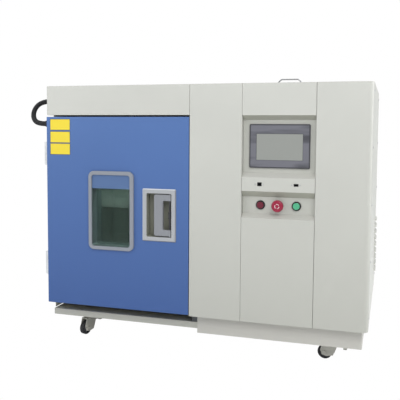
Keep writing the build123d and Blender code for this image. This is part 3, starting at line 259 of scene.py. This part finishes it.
LOOKS = {
    "welded_frame": FRAME, "base_tray": TRAY, "plinth": BASE, "fascia": CABINET,
    "front_panel_left": CABINET, "control_panel": CABINET, "front_panel_right": CABINET,
    "roof_panel": SIDES, "left_side_panel": SIDES, "right_side_panel": SIDES,
    "rear_panel": SIDES, "chamber_body": FOAM, "chamber_liner": MIRROR_STEEL,
    "air_baffle": MIRROR_STEEL, "chamber_shelves": STEEL, "evaporator": ALUMINIUM,
    "heater": STEEL, "humidifier": STEEL, "circulation_motor": MACHINE,
    "circulation_fan": ALUMINIUM, "compressor": MACHINE, "condenser": ALUMINIUM,
    "condenser_fan": BLACK, "refrigerant_pipes": COPPER, "electrical_board": ZINC,
    "water_reservoir": TANK, "reservoir_lid": SIDES, "touch_panel": DARK,
    "touch_screen": SCREEN, "data_ports": BLACK, "button_collars": BLACK,
    "power_button": RED_LENS, "light_button": MINT, "estop_plunger": BLACK,
    "estop_head": RED_HEAD, "port_sleeve": STEEL, "port_plug": SILICONE,
    "body_door_fittings": HINGE, "door_hinge_leaves": HINGE, "door_skin": BLUE,
    "door_inner_panel": MIRROR_STEEL, "door_gasket": SEAL, "window_frame": TRIM,
    "window_glass": GLASS, "handle_bezel": HANDLE, "door_lever": GRIP,
    "caster_plates": PLATED, "door_gland": BLACK, "service_fittings": BLACK,
}
CORNERS = ("front_left", "front_right", "rear_left", "rear_right")
for corner in CORNERS:
    LOOKS["fork_" + corner] = PLATED
    LOOKS["wheel_" + corner] = TREAD
    LOOKS["brake_pedal_" + corner] = PLATED


def repaint(node, look):
    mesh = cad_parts[node].data
    mesh.materials.clear()
    mesh.materials.append(look)


for node, look in LOOKS.items():
    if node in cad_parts:
        repaint(node, look)


def second_look(node, look, chosen):
    """Gives the faces of a CAD node that a test picks a second surface."""
    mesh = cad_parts[node].data
    mesh.materials.append(look)
    place = len(mesh.materials) - 1
    for face in mesh.polygons:
        if chosen(face):
            face.material_index = place


LEAN = 0.3
FLAT = 0.9
RECESS_FLOOR = 0.012
POCKET_START = 0.001
HUB_START = 0.4705
HANDLE_MIDDLE = 0.493
HUB_HALF = 0.045
WINDOW_MIDDLE = (0.260, 0.501)
WINDOW_HALF = (0.080, 0.140)
BODY_FRONT = 0.0545
LID_TOP = 0.9525


def across(face):
    """Metres from the cabinet's left face to a face's middle."""
    return face.center.x + ORIGIN.x


def depth(face):
    """Metres from the cabinet's front to a face's middle."""
    return face.center.y + ORIGIN.y


def leans_front(face):
    return face.normal.y < -LEAN


def faces_front(face):
    return face.normal.y < -FLAT


def lit_bevel(face):
    return leans_front(face) and (face.normal.x < -LEAN or face.normal.z > LEAN)


def shaded_bevel(face):
    return leans_front(face) and (face.normal.x > LEAN or face.normal.z < -LEAN)


def lever_hub(face):
    return across(face) > HUB_START and abs(face.center.z - HANDLE_MIDDLE) < HUB_HALF


def window_reveal(face):
    return (abs(across(face) - WINDOW_MIDDLE[0]) < WINDOW_HALF[0]
            and abs(face.center.z - WINDOW_MIDDLE[1]) < WINDOW_HALF[1]
            and abs(face.normal.y) < LEAN)


# Painted shade: the recess slopes and recess floor of the control panel get darker copies of its
# paint by the way they face
second_look("control_panel", UP_SLOPE_PAINTED_SHADE, lambda face: leans_front(face) and face.normal.z > LEAN)
second_look("control_panel", DOWN_SLOPE_PAINTED_SHADE, lambda face: leans_front(face) and face.normal.z < -LEAN)
second_look("control_panel", RECESS_PAINTED_SHADE,
            lambda face: faces_front(face) and depth(face) > RECESS_FLOOR)
second_look("handle_bezel", POCKET, lambda face: depth(face) > POCKET_START)
# Painted highlight on the bevels facing left and up, painted shade on those facing right and
# down
second_look("handle_bezel", HANDLE_PAINTED_HIGHLIGHT, lit_bevel)
second_look("handle_bezel", HANDLE_PAINTED_SHADE, shaded_bevel)
second_look("door_lever", RIM, lever_hub)
second_look("door_inner_panel", REVEAL, window_reveal)
second_look("chamber_body", SIDES,
            lambda face: faces_front(face) and depth(face) < BODY_FRONT)
second_look("reservoir_lid", CHROME, lambda face: face.center.z > LID_TOP)


# Building blocks

def finish_piece(obj, body, look):
    obj.data.materials.clear()
    obj.data.materials.append(look)
    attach(obj, body)
    return obj


def mesh_piece(name, points, faces, body, look, smooth=False):
    mesh = bpy.data.meshes.new(name)
    mesh.from_pydata([tuple(p) for p in points], [], faces)
    mesh.update()
    for face in mesh.polygons:
        face.use_smooth = smooth
    obj = bpy.data.objects.new(name, mesh)
    bpy.context.scene.collection.objects.link(obj)
    return finish_piece(obj, body, look)


def soften(obj, width, segments=3):
    bevel = obj.modifiers.new("soft_edges", "BEVEL")
    bevel.width = width / 1000
    bevel.segments = segments
    bevel.limit_method = "ANGLE"
    return obj


def plate(name, low, high, body, look, edge=0.3):
    """A box between two corners in millimetres, its edges softened."""
    a, b = at(*low), at(*high)
    points = [Vector((x, y, z)) for x in (a.x, b.x) for y in (a.y, b.y) for z in (a.z, b.z)]
    faces = [(0, 1, 3, 2), (4, 6, 7, 5), (0, 4, 5, 1), (2, 3, 7, 6), (0, 2, 6, 4), (1, 5, 7, 3)]
    obj = mesh_piece(name, points, faces, body, look)
    return soften(obj, edge) if edge else obj


def turned(name, profile, place, toward, body, look, steps=40, smooth=True):
    """A shape turned about an axis: the profile holds (distance along it, radius)."""
    toward = Vector(toward).normalized()
    side = toward.orthogonal().normalized()
    other = toward.cross(side)
    points, faces = [], []
    for along, radius in profile:
        for step in range(steps):
            angle = 2 * math.pi * step / steps
            points.append(place + toward * along / 1000
                          + (side * math.cos(angle) + other * math.sin(angle)) * radius / 1000)
    for ring in range(len(profile) - 1):
        for step in range(steps):
            a, b = ring * steps + step, ring * steps + (step + 1) % steps
            faces.append((a, b, b + steps, a + steps))
    faces.append(tuple(reversed(range(steps))))
    last = (len(profile) - 1) * steps
    faces.append(tuple(range(last, last + steps)))
    obj = mesh_piece(name, points, faces, body, look, smooth)
    mesh = obj.data
    for face in mesh.polygons:
        if len(face.vertices) > 4:
            face.use_smooth = False
    return obj


def joined(name, pieces):
    """One object from several, which keeps the first one's body and surfaces."""
    bpy.ops.object.select_all(action="DESELECT")
    for piece in pieces:
        piece.select_set(True)
    bpy.context.view_layer.objects.active = pieces[0]
    bpy.ops.object.join()
    pieces[0].name = name
    return pieces[0]


def screw(name, x, y, z, toward, radius, body, look=None, head=1.4):
    """A pan head, standing on a surface."""
    look = look or STEEL
    place = at(x, y, z)
    top = turned(name, [(0, radius), (head * 0.55, radius), (head, radius * 0.62)], place,
                 toward, body, look, steps=20)
    return top


# The conduit: its route's points are those of the CAD source

GLAND = 14.3
ROUTE = (
    (-GLAND, 72.0, 898.0),
    (-44.0, 72.0, 898.0),
    (-72.0, 62.0, 885.0),
    (-84.0, 50.0, 857.0),
    (-74.0, 36.0, 828.0),
    (-45.0, 23.0, 813.0),
    (-GLAND, 23.0, 813.0),
)
CONDUIT = 19.0
RIDGE = 3.4


def curve_points(route):
    """The smooth line through the route: control points of one spline, read back as points."""
    curve = bpy.data.curves.new("conduit_line", "CURVE")
    curve.dimensions = "3D"
    curve.resolution_u = 24
    spline = curve.splines.new("NURBS")
    spline.points.add(len(route) - 1)
    for point, place in zip(spline.points, route):
        point.co = (*at(*place), 1.0)
    spline.order_u = 3
    spline.use_endpoint_u = True
    holder = bpy.data.objects.new("conduit_line", curve)
    bpy.context.scene.collection.objects.link(holder)
    mesh = bpy.data.meshes.new_from_object(holder)
    points = [vertex.co.copy() for vertex in mesh.vertices]
    bpy.data.objects.remove(holder)
    return points


def resampled(points, spacing):
    """Points an even distance apart along a line of points."""
    lengths = [0.0]
    for a, b in zip(points, points[1:]):
        lengths.append(lengths[-1] + (b - a).length)
    count = max(2, round(lengths[-1] / spacing))
    result, index = [], 0
    for step in range(count + 1):
        target = lengths[-1] * step / count
        while index < len(points) - 2 and lengths[index + 1] < target:
            index += 1
        span = lengths[index + 1] - lengths[index]
        share = (target - lengths[index]) / span if span else 0.0
        result.append(points[index].lerp(points[index + 1], min(1.0, max(0.0, share))))
    return result, lengths[-1]


def corrugated(name, line, radius, ridge, body, look, steps=28):
    """A ribbed tube round a line."""
    per_ridge = 6
    path, length = resampled(line, ridge / 1000 / per_ridge)
    points, faces = [], []
    side = (path[1] - path[0]).orthogonal().normalized()
    for index, place in enumerate(path):
        before, after = path[max(0, index - 1)], path[min(len(path) - 1, index + 1)]
        toward = (after - before).normalized()
        side = (side - toward * side.dot(toward)).normalized()
        other = toward.cross(side)
        wave = 0.5 + 0.5 * math.cos(2 * math.pi * index / per_ridge)
        size = (radius - 1.3 * (1 - wave ** 0.7)) / 1000
        for step in range(steps):
            angle = 2 * math.pi * step / steps
            points.append(place + (side * math.cos(angle) + other * math.sin(angle)) * size)
    for ring in range(len(path) - 1):
        for step in range(steps):
            a, b = ring * steps + step, ring * steps + (step + 1) % steps
            faces.append((a, b, b + steps, a + steps))
    faces.append(tuple(reversed(range(steps))))
    last = (len(path) - 1) * steps
    faces.append(tuple(range(last, last + steps)))
    return mesh_piece(name, points, faces, body, look, smooth=True), path, length


line = curve_points(ROUTE)
hose, hose_path, hose_length = corrugated("ribbed_conduit", line, CONDUIT / 2 - 0.1, RIDGE,
                                          "cabinet", BLACK)
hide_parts("conduit")


# Blank plates on the door, the band behind the window, and the marks on the red head

PLATES = ((788.7, 830.7), (742.6, 785.5), (699.3, 741.9))
for number, (low, high) in enumerate(PLATES, 1):
    plate(f"door_plate_rim_{number}", (15.6, -0.35, low + 0.8), (96.8, 0.1, high - 0.8), "door",
          BLACK, 0.1)
    plate(f"door_plate_{number}", (16.8, -0.7, low + 2.0), (95.6, 0.1, high - 2.0), "door",
          YELLOW, 0.25)

WINDOW = dict(left=185.5, right=334.5, bottom=371.5, top=630.5)
plate("window_band", (WINDOW["left"] + 0.6, -4.5, 581.0),
      (WINDOW["right"] - 0.6, -4.05, WINDOW["top"] - 0.6), "door", BAND, 0.0)


def arc_mark(name, x, y, z, inner, outer, start, sweep, body):
    """A curved arrow lying on the front of the red head."""
    points, faces = [], []
    steps = 14
    for step in range(steps + 1):
        angle = math.radians(start + sweep * step / steps)
        for radius in (inner, outer):
            points.append(at(x + radius * math.cos(angle), y, z + radius * math.sin(angle)))
    for step in range(steps):
        a = 2 * step
        faces.append((a, a + 1, a + 3, a + 2))
    tip = math.radians(start + sweep + math.copysign(20, sweep))
    end = math.radians(start + sweep)
    middle = (inner + outer) / 2
    base = len(points)
    for radius in (inner - 1.2, outer + 1.2):
        points.append(at(x + radius * math.cos(end), y, z + radius * math.sin(end)))
    points.append(at(x + middle * math.cos(tip), y, z + middle * math.sin(tip)))
    faces.append((base, base + 1, base + 2))
    obj = mesh_piece(name, points, faces, body, WHITE)
    solid = obj.modifiers.new("thickness", "SOLIDIFY")
    solid.thickness = 0.0003
    solid.offset = 0.0
    return obj


head_low, head_high = map(Vector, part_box("estop_head"))
stop_x, stop_z = (head_low.x + head_high.x) / 2, (head_low.z + head_high.z) / 2
stop_x, stop_z = (stop_x + ORIGIN.x) * 1000, stop_z * 1000
stop_front = (head_low.y + ORIGIN.y) * 1000
marks = [arc_mark(f"turn_mark_{n}", stop_x, stop_front + 0.3, stop_z, 6.4, 8.0,
                  start, 70, "stop_head") for n, start in enumerate((28, 148, 268), 1)]
joined("turn_marks", marks)


# Screws

def screw_set(name, places, toward, radius, body, head=1.4):
    pieces = [screw(f"{name}_{n}", *place, toward, radius, body, head=head)
              for n, place in enumerate(places)]
    return joined(name, pieces)


HINGES = (291.0, 703.0)
screw_set("hinge_screws_cabinet",
          [(-2.5, 54 + 12 + 24 * k, c + dz) for c in HINGES for k in (0, 1)
           for dz in (-32, -11, 11, 32)], (-1, 0, 0), 3.4, "cabinet")
screw_set("hinge_screws_door",
          [(-2.5, 38.0, c + dz) for c in HINGES for dz in (-33, 33)],
          (-1, 0, 0), 3.0, "door")
screw_set("port_screws",
          [(x + side, -0.05, 614.0) for x in (798.15, 920.15) for side in (-14, 14)],
          (0, -1, 0), 2.1, "cabinet", head=0.9)
screw_set("side_screws_right",
          [(1160.0, y, z) for y in (76.0, 782.0) for z in (170.0, 360.0, 550.0, 740.0, 925.0)],
          (1, 0, 0), 4.2, "cabinet")
screw_set("side_screws_left",
          [(0.0, y, z) for y in (110.0, 782.0) for z in (140.0, 350.0, 560.0, 740.0, 925.0)],
          (-1, 0, 0), 4.2, "cabinet")
screw_set("rear_screws",
          [(x, 800.0, z) for x in (14.0, 290.0, 580.0, 870.0, 1146.0) for z in (125.0, 937.0)]
          + [(x, 800.0, z) for x in (14.0, 1146.0) for z in (330.0, 530.0, 730.0)],
          (0, 1, 0), 4.2, "cabinet")
screw_set("roof_screws",
          [(x, y, 950.0) for x in (20.0, 392.0, 768.0, 1140.0) for y in (26.0, 784.0)]
          + [(x, y, 950.0) for x in (14.0, 1146.0) for y in (280.0, 540.0)],
          (0, 0, 1), 4.2, "cabinet")
screw_set("inner_door_screws",
          [(x, 46.0, z) for x in (24.0, 527.5) for z in (180.0, 340.0, 500.0, 660.0, 800.0)],
          (0, 1, 0), 3.4, "door")


# Dark lines round the display and round the touch panel

def border(name, x0, x1, z0, z1, wide, y, body, look):
    """A flat rectangular line on a front face."""
    outer = [at(x0, y, z0), at(x1, y, z0), at(x1, y, z1), at(x0, y, z1)]
    inner = [at(x0 + wide, y, z0 + wide), at(x1 - wide, y, z0 + wide),
             at(x1 - wide, y, z1 - wide), at(x0 + wide, y, z1 - wide)]
    faces = [(0, 1, 5, 4), (1, 2, 6, 5), (2, 3, 7, 6), (3, 0, 4, 7)]
    obj = mesh_piece(name, outer + inner, faces, body, look)
    solid = obj.modifiers.new("thickness", "SOLIDIFY")
    solid.thickness = 0.0002
    return obj


screen_low, screen_high = map(Vector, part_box("touch_screen"))
sx0, sx1 = (screen_low.x + ORIGIN.x) * 1000, (screen_high.x + ORIGIN.x) * 1000
sz0, sz1 = screen_low.z * 1000, screen_high.z * 1000
sy = (screen_low.y + ORIGIN.y) * 1000
border("display_border", sx0, sx1, sz0, sz1, 1.0, sy - 0.12, "cabinet", RIM)
panel_low, panel_high = map(Vector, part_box("touch_panel"))
px0, px1 = (panel_low.x + ORIGIN.x) * 1000, (panel_high.x + ORIGIN.x) * 1000
border("panel_border", px0 + 1.0, px1 - 1.0, panel_low.z * 1000 + 1.0, panel_high.z * 1000 - 1.0,
       3.0, (panel_low.y + ORIGIN.y) * 1000 - 0.05, "cabinet", RIM)


# Wheels: a hub face inside the tread

HUB_REACH = 0.0185
for corner in CORNERS:
    wheel_low, wheel_high = map(Vector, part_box("wheel_" + corner))
    middle = (wheel_low + wheel_high) / 2
    second_look("wheel_" + corner, HUB,
                lambda face, c=middle: (face.center - c).length < HUB_REACH)


# Camera, from the corners of the cabinet in the photograph

def camera():
    data = bpy.data.cameras.new("camera")
    data.sensor_width = 36.0
    data.sensor_fit = "HORIZONTAL"
    data.lens = 635.5 * 36.0 / 400.0
    data.shift_x = -(191.7 - 200.0) / 400.0
    data.shift_y = (175.3 - 200.0) / 400.0
    data.clip_end = 50.0
    obj = bpy.data.objects.new("camera", data)
    bpy.context.scene.collection.objects.link(obj)
    yaw, pitch, roll = math.radians(17.35), math.radians(4.23), math.radians(0.32)
    forward = Vector((-math.sin(yaw) * math.cos(pitch), math.cos(yaw) * math.cos(pitch),
                      -math.sin(pitch)))
    right = Vector((math.cos(yaw), math.sin(yaw), 0.0))
    up = right.cross(forward)
    turned_right = right * math.cos(roll) + up * math.sin(roll)
    turned_up = up * math.cos(roll) - right * math.sin(roll)
    pose = Matrix((turned_right, turned_up, -forward)).transposed().to_4x4()
    pose.translation = at(1213.5, -2083.9, 798.9)
    obj.matrix_world = pose
    bpy.context.scene.camera = obj


# Studio: white floor, white world for the camera, soft lamps

def studio():
    mesh = bpy.data.meshes.new("floor")
    mesh.from_pydata([(-30, -30, 0), (30, -30, 0), (30, 30, 0), (-30, 30, 0)], [],
                     [(0, 1, 2, 3)])
    floor = bpy.data.objects.new("floor", mesh)
    bpy.context.scene.collection.objects.link(floor)
    material, nodes, links, shader = new_material("floor_white")
    shader.inputs["Base Color"].default_value = (0.86, 0.86, 0.86, 1.0)
    shader.inputs["Roughness"].default_value = 0.9
    shader.inputs["Specular IOR Level"].default_value = 0.1
    white = nodes.new("ShaderNodeEmission")
    white.inputs["Color"].default_value = (1.0, 1.0, 1.0, 1.0)
    white.inputs["Strength"].default_value = 1.0
    path = nodes.new("ShaderNodeLightPath")
    mix = nodes.new("ShaderNodeMixShader")
    links.new(path.outputs["Is Camera Ray"], mix.inputs["Fac"])
    links.new(shader.outputs["BSDF"], mix.inputs[1])
    links.new(white.outputs["Emission"], mix.inputs[2])
    links.new(mix.outputs["Shader"], nodes["Material Output"].inputs["Surface"])
    mesh.materials.append(material)

    world = bpy.data.worlds.new("studio")
    world.use_nodes = True
    bpy.context.scene.world = world
    tree = world.node_tree
    tree.nodes.clear()
    output = tree.nodes.new("ShaderNodeOutputWorld")
    seen = tree.nodes.new("ShaderNodeBackground")
    seen.inputs["Color"].default_value = (1.0, 1.0, 1.0, 1.0)
    lit = tree.nodes.new("ShaderNodeBackground")
    lit.inputs["Color"].default_value = (0.94, 0.97, 1.0, 1.0)
    lit.inputs["Strength"].default_value = 0.62
    ray = tree.nodes.new("ShaderNodeLightPath")
    choose = tree.nodes.new("ShaderNodeMixShader")
    tree.links.new(ray.outputs["Is Camera Ray"], choose.inputs["Fac"])
    tree.links.new(lit.outputs["Background"], choose.inputs[1])
    tree.links.new(seen.outputs["Background"], choose.inputs[2])
    tree.links.new(choose.outputs["Shader"], output.inputs["Surface"])
    bpy.context.scene.view_settings.view_transform = "Standard"


def lamp(name, place, target, size, power):
    data = bpy.data.lights.new(name, "AREA")
    data.shape = "RECTANGLE"
    data.size, data.size_y = size
    data.energy = power
    obj = bpy.data.objects.new(name, data)
    bpy.context.scene.collection.objects.link(obj)
    obj.location = place
    aim = Vector(target) - Vector(place)
    obj.rotation_euler = aim.to_track_quat("-Z", "Y").to_euler()


camera()
studio()
lamp("key", (1.6, -3.0, 3.0), (0.0, 0.0, 0.5), (2.4, 2.0), 62.0)
lamp("fill", (-2.8, -2.4, 1.8), (0.0, 0.0, 0.5), (2.0, 2.0), 26.0)
lamp("top", (0.2, 0.4, 3.6), (0.0, 0.0, 0.5), (2.6, 2.6), 24.0)
lamp("side", (4.2, 0.9, 1.2), (0.6, 0.2, 0.5), (1.6, 1.6), 55.0)
lamp("chamber_light", tuple(at(260.0, 140.0, 715.0)), tuple(at(260.0, 330.0, 400.0)),
     (0.16, 0.03), 2.2)
